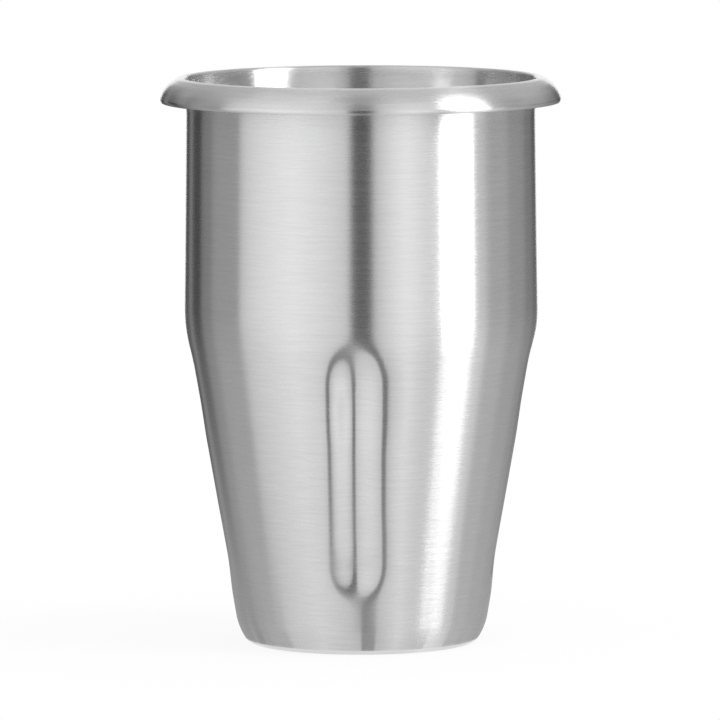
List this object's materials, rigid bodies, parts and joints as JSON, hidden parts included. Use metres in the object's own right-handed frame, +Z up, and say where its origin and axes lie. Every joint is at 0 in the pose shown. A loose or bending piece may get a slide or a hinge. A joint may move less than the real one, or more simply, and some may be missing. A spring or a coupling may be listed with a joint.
{
  "type": "milkshake mixing cup",
  "caption": "Stainless steel drink mixing cup: near-cylindrical upper body, tapered fluted lower body, flat base and a rolled-out rim.",
  "frame": {"origin": "on the cup's axis, on the plane its base stands on", "axes": "+Z up along the cup's axis, towards the mouth; the front flute faces -Y"},
  "size_m": [0.1145, 0.1145, 0.1622],
  "materials": {
    "steel": "fine brushing around the axis, satin"
  },
  "bodies": {
    "root": {"cup": "steel"}
  },
  "joints": []
}
